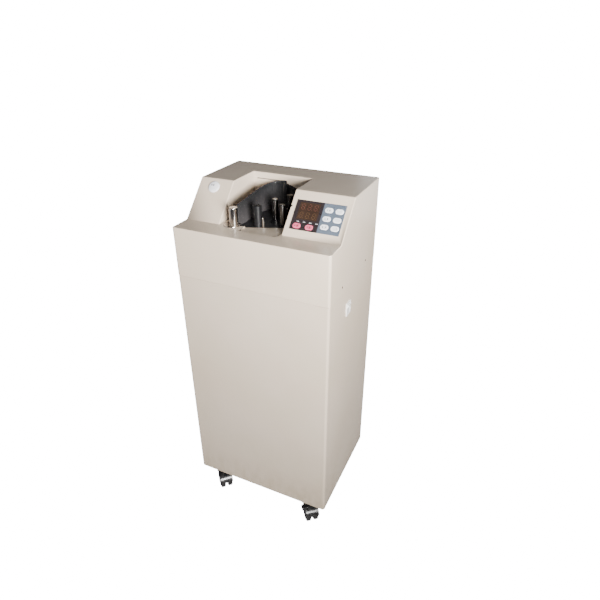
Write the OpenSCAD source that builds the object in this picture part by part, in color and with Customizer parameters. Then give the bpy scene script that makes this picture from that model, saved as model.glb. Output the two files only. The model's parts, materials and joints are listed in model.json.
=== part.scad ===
// Floor-standing vacuum counting machine for bundles of notes: sheet-steel cabinet on casters,
// moulded top shell with a note bay, suction spindle head, keypad, belt drive and vacuum pump.
// The origin is on the floor under the middle of the cabinet, +X to its right, +Y to its back.

/* [Cabinet] */
// Overall width of the cabinet
body_w = 380; // [370:1:400]
// Overall depth, front face to back face
body_d = 298; // [298:1:310]
// Clear height under the cabinet
caster_h = 74; // [72:1:78]
// Height of the sheet-steel lower cabinet
cabinet_h = 613; // [560:1:640]
// Thickness of the sheet steel
sheet_t = 1.5; // [1.2:0.1:2]
// Radius of the upright corners
corner_r = 6; // [5:0.5:10]

/* [Top shell] */
// Height from the seam up to the note deck
deck_rise = 117; // [114:1:125]
// Height of the two pods above the deck
pod_rise = 79; // [76:1:84]
// Wall thickness of the moulding
shell_t = 3; // [2.5:0.1:3.5]
// Depth of the apron, front face to the foot of the slope
apron_d = 57; // [55:1:60]
// Front-to-back depth that the sloping faces cover
slope_d = 75; // [73:1:78]
// Right edge of the left pod
left_pod_x = -102.5; // [-110:0.5:-96]
// Left edge of the control pod
right_pod_x = 53; // [50:0.5:58]
// Depth of the note bay, front face to its back wall
bay_d = 223; // [223:1:228]

/* [Spindle head] */
// Number of suction spindles
spindle_n = 5; // [5:1:5]
// Radius of the circle that the spindles stand on
spindle_pcd_r = 38; // [38:0.5:40]
// Radius of a spindle
spindle_r = 7; // [6:0.5:8]
// Height of a spindle above the chamber floor
spindle_h = 49; // [40:1:50]
// Direction of the first spindle from the head's centre
spindle_a0 = 263.5; // [0:0.5:360]
// Teeth on the fixed sun gear
sun_teeth = 52; // [52:1:52]
// Teeth on each spindle's gear
planet_teeth = 24; // [24:1:24]

/* [Clamp and guides] */
// Radius of the turning clamp disc
clamp_disc_r = 19; // [16:0.5:20]
// Radius of the clamp post
clamp_post_r = 9.5; // [8:0.5:10]
// Height of the clamp post above its disc
clamp_post_h = 42; // [38:1:50]
// Radius of the anvil pillar
pillar_r = 9; // [8:0.5:10]
// Height of the anvil pillar above the chamber floor
pillar_h = 49; // [40:1:55]
// Height of the smoked guard at its front end
guard_front_h = 50.5; // [46:0.5:54]
// Height of the smoked guard at its back end
guard_blank_h = 76; // [74:1:80]

/* [Controls] */
// Width of the control panel across both overlays
panel_w = 113; // [113:1:114]
// Length of the control panel up the slope
panel_len = 69; // [69:1:70]
// Width of a key
key_w = 18; // [16:0.5:19]
// Length of a key
key_len = 11.4; // [10:0.2:12]
// Travel of a key
key_travel = 0.5; // [0.3:0.1:0.6]
// Radius of the start button
start_r = 14; // [12:0.5:15]
// Travel of the start button
start_travel = 3; // [2:0.5:3]

/* [Casters] */
// Radius of a caster wheel
wheel_r = 25; // [25:1:25]
// Width of one wheel of a pair
wheel_w = 13; // [12:0.5:14]
// Gap between the two wheels of a pair
wheel_gap = 7; // [6.5:0.5:8]
// Distance from the swivel axis back to the axle
caster_trail = 8; // [6:0.5:9]
// Sideways distance of the swivel axes from the middle
caster_x = 137; // [130:1:140]
// Distance of the swivel axes in from the front and back faces
caster_in = 28; // [28:1:34]

/* [Hidden] */
$fn = 64;
eps = 0.01;
clear = 0.3;
run_fit = 0.05;
half_w = body_w / 2;
half_d = body_d / 2;
seam_z = caster_h + cabinet_h;
deck_z = seam_z + deck_rise;
top_z = deck_z + pod_rise;
seam_gap = 0.6;
shell_step = 0.4;
slope_a = atan2(pod_rise, slope_d);
function fy(d) = d - half_d;

flange_w = 5;
plate_t = 3;
base_z = caster_h + 4;
mech_z = seam_z - seam_gap;
rear_in = 3;
rear_w = 359;
rear_z0 = caster_h + 8.5;
rear_z1 = seam_z - 9;
screw_r = 2;
screw_head_r = 3.6;
screw_head_h = 1.4;
side_screws = [73, 226];
side_screw_z = seam_z + 14;

tray_depth = 3;
floor_z = deck_z - 4;
tray_pts = [[-44, 42], [50, 42], [50, 113], [11, 94.5], [-23, 80.7], [-44, 72.1]];
chamber_front = [[-58, 65.2], [-23, 79.5], [11, 93.3], [52, 112], [84, 112]];
guard_r = 48;
guard_t = 2.5;
guard_c = [-13.5, 173];
chamber_r = guard_r + 1.6;
chamber_curl = [for (a = [90:10:180]) guard_c + chamber_r * [cos(a), sin(a)]];
chamber_end = guard_c.x + 1.5;
chamber_pts = concat(chamber_front, [[84, 216], [chamber_end, 216], [chamber_end, guard_c.y + chamber_r]],
    chamber_curl, [[-64.6, 80.5], [-58, 70]]);
cover_rise = 52;
rotor_x = 30;
rotor_d = 155;
rotor_r = spindle_pcd_r + 8.5;
rotor_t = 10;
journal_r = 5;
gear_module = 1;
gear_h = 7.5;
gear_z = floor_z - rotor_t - 4.5 - gear_h;
shaft_r = 8;
pulley_z = mech_z - 30;
pulley_h = 12;
rotor_pulley_r = 30;
motor_pulley_r = 12;
motor_x = -105;
motor_d = 178;
clamp_x = -73;
clamp_d = 66;
clamp_offset = [8.5, -6];

panel_x0 = 64.5;
panel_s0 = 18;
panel_split = 63.5;
overlay_t = 1;
overlay_sink = 0.6;
window_x = 73.7;
window_s = 42.5;
window_w = 47;
window_len = 39.5;
board_n = -11.2;
white_keys = [for (s = [71.5, 51.8, 33]) for (x = [141.5, 165]) [x, s]];
red_keys = [[80.1, 27], [108.7, 27]];
start_x = -148;
start_s = 87;
switch_d = 115;
switch_z = caster_h + 555;
switch_tilt = -9;
inlet_x = -130;
inlet_z = caster_h + 60;

caster_signs = [[-1, -1], [1, -1], [-1, 1], [1, 1]];
caster_angles = [46, 40, 231, 205];
hood_r = wheel_r + 2.4;
hood_clear = 1;
axle_r = 3;
swivel_pin_r = 4;
pair_w = 2 * wheel_w + wheel_gap;

// ---- shared shapes ----

// Rectangle in plan with round corners, centred on the origin.
module plan(inset, r) {
    w = body_w - 2 * inset;
    d = body_d - 2 * inset;
    square([w - 2 * r, d], center = true);
    square([w, d - 2 * r], center = true);
    for (sx = [-1, 1])
        for (sy = [-1, 1])
            translate([sx * (w / 2 - r), sy * (d / 2 - r)])
                circle(r);
}

module prism(z0, z1, inset, r) {
    translate([0, 0, z0])
        linear_extrude(z1 - z0)
            plan(inset, r);
}

// Ring that follows the walls, such as a folded flange.
module ring(z0, z1, outer, inner) {
    difference() {
        prism(z0, z1, outer, corner_r - 1.5);
        prism(z0 - 1, z1 + 1, inner, 2);
    }
}

// Box given by its low corner and its high corner.
module block(lo, hi) {
    translate(lo)
        cube(hi - lo);
}

// Cylinder along +Z between two heights.
module rod(x, y, z0, z1, r) {
    translate([x, y, z0])
        cylinder(h = z1 - z0, r = r);
}

// Frame of the sloping faces: X across, Y up the slope, Z out of it.
module on_slope(x, s, n = 0) {
    translate([0, fy(apron_d), deck_z])
        rotate([slope_a, 0, 0])
            translate([x, s, n])
                children();
}

module oval(w, len) {
    square([w - len, len], center = true);
    for (sx = [-1, 1])
        translate([sx * (w - len) / 2, 0])
            circle(len / 2);
}

// ---- cabinet ----

module lower_cabinet() color([0.80, 0.77, 0.71]) {
    top = seam_z - seam_gap;
    back = fy(body_d - shell_step);
    difference() {
        prism(caster_h, top, shell_step, corner_r);
        prism(caster_h - 1, top + 1, shell_step + sheet_t, corner_r - sheet_t);
        block([-half_w + 10, back - 5, rear_z0 - 0.5], [half_w - 10, back + 5, rear_z1 + 0.5]);
        translate([half_w - 5, fy(switch_d) - 11, switch_z - 14.5])
            cube([10, 22, 29]);
    }
    inner = shell_step + sheet_t;
    ring(top - sheet_t, top, inner, inner + flange_w);
    ring(base_z - sheet_t, base_z, inner, inner + flange_w);
    difference() {
        block([-half_w + inner, back - rear_in - sheet_t, base_z + plate_t + 0.5],
            [half_w - inner, back - rear_in, top - sheet_t + eps]);
        block([-half_w + 24, back - 20, base_z + 30], [half_w - 24, back + 5, top - 24]);
        rear_screw_holes(screw_r);
    }
}

module rear_screw_holes(r) {
    for (x = [-1, 1])
        for (z = [rear_z0 + 12, (rear_z0 + rear_z1) / 2, rear_z1 - 12])
            translate([x * (rear_w / 2 - 8), half_d - 20, z])
                rotate([-90, 0, 0])
                    cylinder(h = 30, r = r);
}

module base_plate() color([0.62, 0.63, 0.64]) {
    difference() {
        block([-186, -half_d + 4, base_z], [186, half_d - 5.5, base_z + plate_t]);
        for (s = caster_signs)
            translate([s.x * caster_x, s.y * (half_d - caster_in), 0])
                for (sx = [-1, 1])
                    for (sy = [-1, 1])
                        rod(sx * 15, sy * 15, base_z - 1, base_z + 5, 2.6);
    }
}

module rear_panel() color([0.78, 0.75, 0.69]) {
    back = fy(body_d - shell_step) - rear_in;
    difference() {
        block([-rear_w / 2, back, rear_z0], [rear_w / 2, back + sheet_t, rear_z1]);
        rear_screw_holes(screw_r + 0.2);
        for (row = [0:9])
            for (col = [-1, 1])
                translate([col * 52 - 38, back - 1, rear_z1 - 70 - row * 12])
                    cube([76, 5, 4]);
        for (row = [0:5])
            translate([-38, back - 1, rear_z0 + 40 + row * 12])
                cube([76, 5, 4]);
        translate([inlet_x - 13.8, back - 1, inlet_z - 10.3])
            cube([27.6, 5, 20.6]);
    }
}

module pan_screw(len) {
    cylinder(h = screw_head_h, r1 = screw_head_r - 0.5, r2 = screw_head_r - 0.9);
    translate([0, 0, -0.6])
        cylinder(h = 0.6 + eps, r = screw_head_r - 0.5);
    translate([0, 0, -len])
        cylinder(h = len - 0.6 + eps, r = screw_r - 0.4);
}

module case_screws() color([0.42, 0.42, 0.43]) {
    back = fy(body_d - shell_step) - rear_in + sheet_t;
    for (x = [-1, 1])
        for (z = [rear_z0 + 12, (rear_z0 + rear_z1) / 2, rear_z1 - 12])
            translate([x * (rear_w / 2 - 8), back + 0.6, z])
                rotate([-90, 0, 0])
                    pan_screw(8);
    for (x = [-1, 1])
        for (d = side_screws)
            translate([x * (half_w - 1.2), fy(d), side_screw_z])
                rotate([0, x * 90, 0])
                    pan_screw(8);
}

// ---- top shell ----

// Side outline of the shell, drawn in depth and height, t inside the outer faces.
module side_outline(t) {
    shift = t * tan(slope_a / 2);
    low = seam_z - (t > 0 ? 1 : 0);
    polygon([
        [fy(t), low], [fy(t), deck_z - t],
        [fy(apron_d + shift), deck_z - t],
        [fy(apron_d + slope_d + shift), top_z - t],
        [fy(body_d - t), top_z - t], [fy(body_d - t), low]
    ]);
}

module shell_mass(t) {
    intersection() {
        prism(seam_z - 2, top_z + 1, t, corner_r - t / 2);
        translate([-half_w, 0, 0])
            rotate([90, 0, 90])
                linear_extrude(body_w)
                    side_outline(t);
    }
}

// Tray outline with a round corner at its front right, grown by g on every side.
module tray_outline(g) {
    r = 10;
    difference() {
        polygon([for (p = tray_pts) [p.x + (p.x > 0 ? g : -g), fy(p.y + (p.y < 50 ? -g : g))]]);
        translate([50 + g - r - g, fy(42 - g - 1)])
            difference() {
                square([r + g + 1, r + g + 1]);
                translate([0, r + g + 1])
                    circle(r + g);
            }
    }
}

module chamber_outline() {
    polygon([for (p = chamber_pts) [p.x, fy(p.y)]]);
}

module top_shell() color([0.85, 0.82, 0.76]) {
    t = shell_t;
    difference() {
        shell_mass(0);
        bay_box(0);
        difference() {
            shell_mass(t);
            bay_box(t);
            translate([0, 0, deck_z - 2 * t])
                linear_extrude(2 * t)
                    tray_outline(t);
        }
        translate([0, 0, deck_z - tray_depth])
            linear_extrude(10)
                tray_outline(0);
        translate([0, 0, deck_z - 10])
            linear_extrude(20)
                chamber_outline();
        // windows from the bay into the covered half of the spindle head
        block([right_pod_x - 1, fy(104), deck_z - t - 1],
            [right_pod_x + t + 1, fy(bay_d), deck_z + cover_rise]);
        translate([0, fy(bay_d + t + 1), 0])
            rotate([90, 0, 0])
                linear_extrude(t + 2)
                    polygon([[-22, deck_z - eps], [-22, deck_z + 62.4], [right_pod_x, deck_z + 34],
                        [right_pod_x, deck_z - eps]]);
        // narrow gap along the back wall above the guard
        block([-95, fy(bay_d - 1), deck_z + 62.4], [-26, fy(bay_d + t + 1), deck_z + 64.4]);
        rod(clamp_x, fy(clamp_d), deck_z - 10, deck_z + 10, clamp_disc_r + clear);
        on_slope(start_x, start_s, -6)
            cylinder(h = 12, r = start_r + clear);
        on_slope(panel_x0, panel_s0, -overlay_sink)
            cube([panel_w, panel_len, 5]);
        on_slope(panel_x0 + 2, panel_s0 + 1, -10)
            cube([panel_w - 4, panel_len - 2, 12]);
        for (x = [-1, 1])
            for (d = side_screws)
                translate([x * half_w, fy(d), side_screw_z])
                    rotate([0, x * 90, 0]) {
                        translate([0, 0, -6])
                            cylinder(h = 12, r = screw_r);
                        translate([0, 0, -1.9])
                            cylinder(h = 5, r = screw_head_r);
                    }
    }
}

// Space of the note bay above the deck, with walls grown by t.
module bay_box(t) {
    block([left_pod_x - t, fy(40), deck_z - t], [right_pod_x + t, fy(bay_d + t), top_z + 5]);
}

module mech_plate() color([0.68, 0.69, 0.70]) {
    lug_x = half_w - shell_t - clear;
    difference() {
        prism(mech_z, mech_z + plate_t, shell_t + 0.6, corner_r - 1);
        rod(rotor_x, fy(rotor_d), mech_z - 1, mech_z + 5, shaft_r + 4);
        rod(motor_x, fy(motor_d), mech_z - 1, mech_z + 5, 8);
        rod(clamp_x, fy(clamp_d), mech_z - 1, mech_z + 5, 9);
        block([95, fy(60), mech_z - 1], [150, fy(100), mech_z + 5]);
    }
    for (x = [-1, 1])
        for (d = side_screws)
            difference() {
                translate([x * (lug_x - 1), fy(d), mech_z + plate_t + 9 - eps])
                    cube([2, 20, 18], center = true);
                translate([x * (lug_x - 5), fy(d), side_screw_z])
                    rotate([0, x * 90, 0])
                        cylinder(h = 10, r = screw_r - 0.3);
            }
}

// ---- note chamber ----

module chamber_floor() color([0.09, 0.09, 0.10]) {
    difference() {
        block([-74, fy(56), floor_z - 3], [100, fy(226), floor_z]);
        translate([0, 0, floor_z - 5])
            linear_extrude(10)
                polygon([for (q = concat(chamber_front, [[110, 112], [110, 40], [-80, 40], [-80, 65.2]]))
                    [q.x, fy(q.y + clear)]]);
        rod(rotor_x, fy(rotor_d), floor_z - 5, floor_z + 5, rotor_r + 1);
        rod(clamp_x, fy(clamp_d), floor_z - 5, floor_z + 5, clamp_disc_r + 2);
    }
    for (p = [[-52, 208], [90, 208], [92, 112], [-54, 112]])
        difference() {
            rod(p.x, fy(p.y), mech_z + plate_t, floor_z - 3 + eps, 5);
            rod(p.x, fy(p.y), mech_z + plate_t - 1, mech_z + plate_t + 12, 1.6);
        }
}

module chamber_liner() color([0.07, 0.07, 0.08]) {
    roof = deck_z + cover_rise + 1;
    block([-96, fy(bay_d + 4), floor_z + eps], [84, fy(bay_d + 6), top_z - 12]);
    block([84, fy(128), floor_z + eps], [86, fy(bay_d + 6), roof + 2]);
    block([right_pod_x + shell_t + 0.2, fy(140), roof], [84, fy(bay_d + 4), roof + 2]);
    block([right_pod_x + shell_t + 0.2, fy(128), roof - 3], [84, fy(130), roof + 2]);
}

// Smoked sheet that runs straight back from the clamp post and curls behind the note chamber.
// Its top edge climbs gently along the straight run and rises faster round the curl.
function guard_h(d) = guard_front_h + 0.092 * (d - 74) + 6 * pow(max(0, d - 185) / 36, 1.5);

module note_guard() color([0.16, 0.17, 0.18, 0.85])
    difference() {
        guard_sheet();
        rod(clamp_x, fy(clamp_d), floor_z - 1, deck_z + 3, clamp_disc_r + 1);
    }

module guard_sheet() {
    intersection() {
        translate([0, 0, floor_z])
            linear_extrude(guard_blank_h) {
                polygon([[-62 - guard_t / 2, fy(74)], [-62 + guard_t / 2, fy(74)],
                    [guard_c.x - guard_r + guard_t / 2, fy(guard_c.y)],
                    [guard_c.x - guard_r - guard_t / 2, fy(guard_c.y)]]);
                translate([guard_c.x, fy(guard_c.y)])
                    difference() {
                        circle(guard_r + guard_t / 2);
                        circle(guard_r - guard_t / 2);
                        translate([-60, -120])
                            square([120, 120 - eps]);
                        translate([0, -1])
                            square([60, 60]);
                    }
            }
        translate([-100, 0, floor_z])
            rotate([90, 0, 90])
                linear_extrude(120)
                    polygon([[fy(70), 0], [fy(70), guard_front_h],
                        for (d = [74, 188, 195, 203, 211, 219]) [fy(d), guard_h(d)],
                        [fy(226), guard_h(224)], [fy(226), 0]]);
    }
}

module anvil_pillar() color([0.13, 0.13, 0.14])
    translate([-22, fy(92), floor_z])
        rotate_extrude()
            polygon([[0, 0], [pillar_r + 2, 0], [pillar_r + 2, 1.5], [pillar_r, 2.5],
                [pillar_r, pillar_h - 1.2], [pillar_r - 1.2, pillar_h], [0, pillar_h]]);

module guide_pin() color([0.75, 0.75, 0.76])
    translate([-8, fy(90), floor_z])
        rotate_extrude()
            polygon([[0, 0], [3, 0], [3, 22.5], [2.2, 23.6], [0, 24]]);

module clamp_motor() color([0.35, 0.36, 0.38]) {
    difference() {
        union() {
            rod(clamp_x, fy(clamp_d), mech_z - 62, mech_z - 1, 19);
            block([clamp_x - 24, fy(clamp_d) - 24, mech_z - 3], [clamp_x + 24, fy(clamp_d) + 24, mech_z]);
            rod(clamp_x, fy(clamp_d), mech_z - 1, mech_z + 24, 8.6);
        }
        rod(clamp_x, fy(clamp_d), mech_z - 20, mech_z + 30, 6 + run_fit);
    }
}

module clamp_disc() color([0.80, 0.80, 0.81])
    translate([clamp_x, fy(clamp_d), deck_z])
        rotate_extrude()
            polygon([[0, mech_z - 18 - deck_z], [6, mech_z - 18 - deck_z], [6, -3], [clamp_disc_r, -3],
                [clamp_disc_r, 1.2], [clamp_disc_r - 0.8, 2], [0, 2]]);

module clamp_post() color([0.86, 0.86, 0.87])
    translate([clamp_x + clamp_offset.x, fy(clamp_d + clamp_offset.y), deck_z + 2])
        rotate_extrude()
            polygon([[0, 0], [clamp_post_r, 0], [clamp_post_r, clamp_post_h - 1],
                [clamp_post_r - 1, clamp_post_h], [0, clamp_post_h]]);

// ---- control panel ----

module key_holes() {
    for (k = white_keys)
        translate([k.x, k.y])
            oval(key_w + 2 * clear, key_len + 2 * clear);
    for (k = red_keys)
        translate([k.x, k.y])
            oval(key_w + 2 * clear, key_len + 2 * clear);
}

module overlay(x0, w) {
    on_slope(0, 0, -overlay_sink)
        linear_extrude(overlay_t)
            difference() {
                translate([x0, panel_s0])
                    square([w, panel_len]);
                key_holes();
                translate([window_x, window_s])
                    square([window_w, window_len]);
            }
}

module display_overlay() color([0.10, 0.09, 0.11])
    overlay(panel_x0, panel_split);

module keypad_overlay() color([0.42, 0.50, 0.58])
    overlay(panel_x0 + panel_split, panel_w - panel_split);

module display_window() color([0.20, 0.10, 0.07, 0.9])
    on_slope(window_x, window_s, -overlay_sink)
        cube([window_w, window_len, overlay_t]);

module digit_module() color([0.16, 0.10, 0.09])
    for (row = [0, 1])
        on_slope(window_x + 1.5, window_s + 1.5 + row * 19, board_n + 1.6)
            difference() {
                cube([window_w - 3, 17.5, 7]);
                for (k = [0:2])
                    translate([3 + k * 14.6, 2.6, 6.6])
                        cube([9, 12.4, 1]);
            }

module control_board() color([0.10, 0.32, 0.20]) {
    on_slope(panel_x0 - 6, panel_s0 + 2, board_n)
        cube([panel_w + 12, panel_len - 4, 1.6]);
    for (k = concat(white_keys, red_keys))
        on_slope(k.x, k.y, board_n + 1.6 - eps) {
            translate([-3, -3, 0])
                cube([6, 6, 4]);
            cylinder(h = 5.2, r = 1.7);
        }
    // standoffs up to the underside of the shell, beside the window
    for (x = [-3, panel_w + 3])
        for (s = [9, panel_len - 9])
            on_slope(panel_x0 + x, panel_s0 + s, board_n + 1.6 - eps)
                cylinder(h = -shell_t - board_n - 1.6 + eps, r = 2.2);
}

// Key cap with a flange under the overlay and a stem over its switch.
module key(k, c) color(c)
    on_slope(k.x, k.y) {
        stem_z = board_n + 6.8 + key_travel + 0.2;
        translate([0, 0, -0.95])
            linear_extrude(1.4)
                oval(key_w, key_len);
        translate([0, 0, 0.4])
            linear_extrude(0.5)
                oval(key_w - 0.8, key_len - 0.8);
        translate([0, 0, -1.9])
            linear_extrude(1)
                oval(key_w + 1.6, key_len + 1.6);
        translate([0, 0, stem_z])
            cylinder(h = -1.7 - stem_z, r = 2);
    }

module key_white(i) key(white_keys[i - 1], [0.93, 0.94, 0.97]);
module key_red(i) key(red_keys[i - 1], [0.93, 0.45, 0.56]);
module key_white_1() key_white(1);
module key_white_2() key_white(2);
module key_white_3() key_white(3);
module key_white_4() key_white(4);
module key_white_5() key_white(5);
module key_white_6() key_white(6);
module key_red_1() key_red(1);
module key_red_2() key_red(2);

module start_button() color([0.93, 0.93, 0.96])
    on_slope(start_x, start_s)
        rotate_extrude()
            polygon([[0, -14], [3.4, -14], [3.4, -5], [start_r - 2, -5], [start_r - 2, -6.2],
                [start_r + 1.6, -6.2], [start_r + 1.6, -4.2], [start_r, -4.2], [start_r, 1.2],
                for (a = [10:10:90]) [start_r * cos(a), 1.2 + 2.8 * sin(a)]]);

module start_switch() color([0.20, 0.20, 0.21])
    on_slope(start_x, start_s)
        rotate_extrude()
            polygon([[0, -24], [start_r + 4.4, -24], [start_r + 4.4, -3.1], [start_r + 2.2, -3.1],
                [start_r + 2.2, -21.5], [0, -21.5]]);

// The spring is drawn at its pressed length, clear of the cap over the whole travel.
spring_r = 6.5;
spring_wire_r = 0.6;
spring_turns = 5;
spring_steps = 14 * spring_turns;
spring_z0 = -21.5 + spring_wire_r;
spring_z1 = -5 - start_travel - clear - spring_wire_r;

function spring_point(k, a) =
    let (turn = 360 * spring_turns * k / spring_steps, r = spring_r + spring_wire_r * cos(a))
    [r * cos(turn), r * sin(turn),
        spring_z0 + (spring_z1 - spring_z0) * k / spring_steps + spring_wire_r * sin(a)];

module start_spring() color([0.72, 0.72, 0.74])
    on_slope(start_x, start_s)
        polyhedron(
            points = [for (k = [0:spring_steps]) for (i = [0:5]) spring_point(k, 60 * i)],
            faces = concat(
                [[5, 4, 3, 2, 1, 0]],
                [for (k = [0:spring_steps - 1]) for (i = [0:5])
                    [6 * k + i, 6 * k + (i + 1) % 6, 6 * k + 6 + (i + 1) % 6, 6 * k + 6 + i]],
                [[for (i = [0:5]) 6 * spring_steps + i]]));

module switch_frame() {
    translate([half_w - shell_step, fy(switch_d), switch_z])
        children();
}

module switch_bezel() color([0.93, 0.93, 0.93])
    switch_frame()
        difference() {
            union() {
                block([0, -13, -16.5], [2.2, 13, 16.5]);
                block([-16, -10.8, -14.2], [eps, 10.8, 14.2]);
                for (z = [-8, 0, 8])
                    block([-25, -2.4, z - 0.4], [-16 + eps, 2.4, z + 0.4]);
            }
            block([-12, -8.9, -12.8], [5, 8.9, 12.8]);
            translate([-3, 20, 0])
                rotate([90, 0, 0])
                    cylinder(h = 40, r = 1.5 + run_fit);
        }

module power_rocker() color([0.95, 0.95, 0.95])
    switch_frame()
        translate([-3, 0, 0])
            rotate([0, -switch_tilt, 0]) {
                rotate([90, 0, 0])
                    translate([0, 0, -8.5])
                        linear_extrude(17)
                            polygon([[-4, -5], [1, -11.6], [6.6, -11.6], [4.6, 0], [6.6, 11.6],
                                [1, 11.6], [-4, 5]]);
                rotate([90, 0, 0])
                    translate([0, 0, -10.5])
                        cylinder(h = 21, r = 1.5);
            }

module power_inlet() color([0.08, 0.08, 0.08]) {
    back = fy(body_d - shell_step) - rear_in + sheet_t;
    translate([inlet_x, back, inlet_z]) {
        difference() {
            union() {
                block([-24, 0, -14], [24, 1.8, 14]);
                block([-13.6, -26, -10], [13.6, eps, 10]);
            }
            block([-11.5, -17, -8], [11.5, 5, 8]);
        }
        for (p = [[-7, -2.5], [7, -2.5], [0, 3]])
            block([p.x - 1, -17.5, p.y - 2.2], [p.x + 1, -2, p.y + 2.2]);
    }
}

// ---- spindle head ----

// Straight-flanked spur gear outline, one tooth centred on the X axis.
module gear_outline(teeth) {
    r = teeth * gear_module / 2;
    function side(a, w, q) = [q * cos(a + w), q * sin(a + w)];
    function half_angle(w, q) = w / q * 90 / PI;
    root = r - 1.25 * gear_module;
    tip = r + 0.85 * gear_module;
    polygon([for (k = [0:teeth - 1])
        let (a = 360 * k / teeth)
            each [side(a, -half_angle(2.0, root), root), side(a, -half_angle(0.62, tip), tip),
                side(a, half_angle(0.62, tip), tip), side(a, half_angle(2.0, root), root)]]);
}

module at_rotor() {
    translate([rotor_x, fy(rotor_d), 0])
        children();
}

function spindle_a(i) = spindle_a0 + 360 / spindle_n * (i - 1);

module rotor_plate() color([0.10, 0.10, 0.11])
    at_rotor()
        difference() {
            union() {
                rod(0, 0, floor_z - rotor_t, floor_z - 0.5, rotor_r);
                rod(0, 0, floor_z - 0.5 - eps, floor_z + 2, 20);
            }
            for (i = [1:spindle_n])
                rotate(spindle_a(i))
                    rod(spindle_pcd_r, 0, floor_z - 20, floor_z + 5, journal_r + run_fit);
        }

// Hollow shaft: the suction passes up its bore to the head.
module rotor_shaft() color([0.70, 0.71, 0.72])
    at_rotor()
        rotate_extrude()
            polygon([[3, pulley_z - 6], [shaft_r, pulley_z - 6], [shaft_r, floor_z - rotor_t - 3.6],
                [14, floor_z - rotor_t - 3.6], [14, floor_z - rotor_t - eps], [3, floor_z - rotor_t - eps]]);

module pulley(r, bore)
    rotate_extrude()
        polygon([[bore, 0], [r + 2, 0], [r + 2, 1.2], [r, 1.8], [r, pulley_h - 1.8],
            [r + 2, pulley_h - 1.2], [r + 2, pulley_h], [bore, pulley_h]]);

module rotor_pulley() color([0.55, 0.56, 0.58])
    translate([rotor_x, fy(rotor_d), pulley_z])
        pulley(rotor_pulley_r, shaft_r + 0.02);

module spindle(i) color([0.84, 0.84, 0.85]) {
    a = spindle_a(i);
    at_rotor()
        rotate(a)
            translate([spindle_pcd_r, 0, 0])
                rotate(-a) {
                    difference() {
                        rod(0, 0, floor_z, floor_z + spindle_h - 1, spindle_r);
                        rotate(a + 180)
                            block([spindle_r - 0.8, -0.9, floor_z + 8],
                                [spindle_r + 2, 0.9, floor_z + spindle_h - 6]);
                    }
                    translate([0, 0, floor_z + spindle_h - 1])
                        cylinder(h = 1, r1 = spindle_r, r2 = spindle_r - 1);
                    rod(0, 0, gear_z + gear_h - eps, floor_z + eps, journal_r);
                    translate([0, 0, gear_z])
                        rotate(172.5 + a * (1 + sun_teeth / planet_teeth))
                            linear_extrude(gear_h)
                                gear_outline(planet_teeth);
                }
}

module spindle_1() spindle(1);
module spindle_2() spindle(2);
module spindle_3() spindle(3);
module spindle_4() spindle(4);
module spindle_5() spindle(5);

module sun_gear() color([0.72, 0.60, 0.32])
    at_rotor()
        translate([0, 0, gear_z])
            difference() {
                linear_extrude(gear_h)
                    gear_outline(sun_teeth);
                translate([0, 0, -1])
                    cylinder(h = gear_h + 2, r = shaft_r + 1);
            }

module bearing_housing() color([0.58, 0.59, 0.60])
    at_rotor()
        difference() {
            union() {
                rod(0, 0, mech_z + plate_t, mech_z + plate_t + 6, 40);
                rod(0, 0, mech_z + plate_t, gear_z - 1, 20);
                rod(0, 0, gear_z - 6, gear_z, 18);
            }
            rod(0, 0, mech_z, mech_z + plate_t + 14, shaft_r + run_fit);
            rod(0, 0, mech_z + plate_t + 13, gear_z - 12, shaft_r + 4);
            rod(0, 0, gear_z - 13, gear_z + 5, shaft_r + run_fit);
            for (a = [45:90:315])
                rotate(a)
                    rod(31, 0, mech_z, mech_z + 20, 2.7);
        }

// ---- drive ----

module drive_motor() color([0.30, 0.31, 0.33])
    translate([motor_x, fy(motor_d), 0])
        difference() {
            union() {
                rod(0, 0, mech_z + plate_t, mech_z + plate_t + 84, 34);
                rod(0, 0, mech_z + plate_t + 84 - eps, mech_z + plate_t + 90, 12);
                for (a = [0:90:270])
                    rotate(a)
                        rod(38, 0, mech_z + plate_t, mech_z + plate_t + 6, 6);
            }
            rod(0, 0, mech_z, mech_z + plate_t + 60, 5 + run_fit);
        }

module motor_pulley() color([0.60, 0.61, 0.63]) {
    translate([motor_x, fy(motor_d), pulley_z])
        pulley(motor_pulley_r, 0);
    rod(motor_x, fy(motor_d), pulley_z + pulley_h - eps, mech_z + plate_t + 50, 5);
}

// Flat belt round the two pulleys, bore side g off the pulley faces.
module belt_outline(g) {
    dx = motor_x - rotor_x;
    dy = motor_d - rotor_d;
    span = sqrt(dx * dx + dy * dy);
    dir = atan2(dy, dx);
    lean = acos((rotor_pulley_r - motor_pulley_r) / span);
    polygon([
        for (k = [0:24])
            let (a = dir + lean + (360 - 2 * lean) * k / 24)
                [rotor_x + (rotor_pulley_r + g) * cos(a), fy(rotor_d) + (rotor_pulley_r + g) * sin(a)],
        for (k = [0:16])
            let (a = dir - lean + 2 * lean * k / 16)
                [motor_x + (motor_pulley_r + g) * cos(a), fy(motor_d) + (motor_pulley_r + g) * sin(a)]
    ]);
}

module drive_belt() color([0.12, 0.12, 0.12])
    translate([0, 0, pulley_z + 2.4])
        linear_extrude(pulley_h - 4.8)
            difference() {
                belt_outline(1.9);
                belt_outline(0.5);
            }

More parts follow.
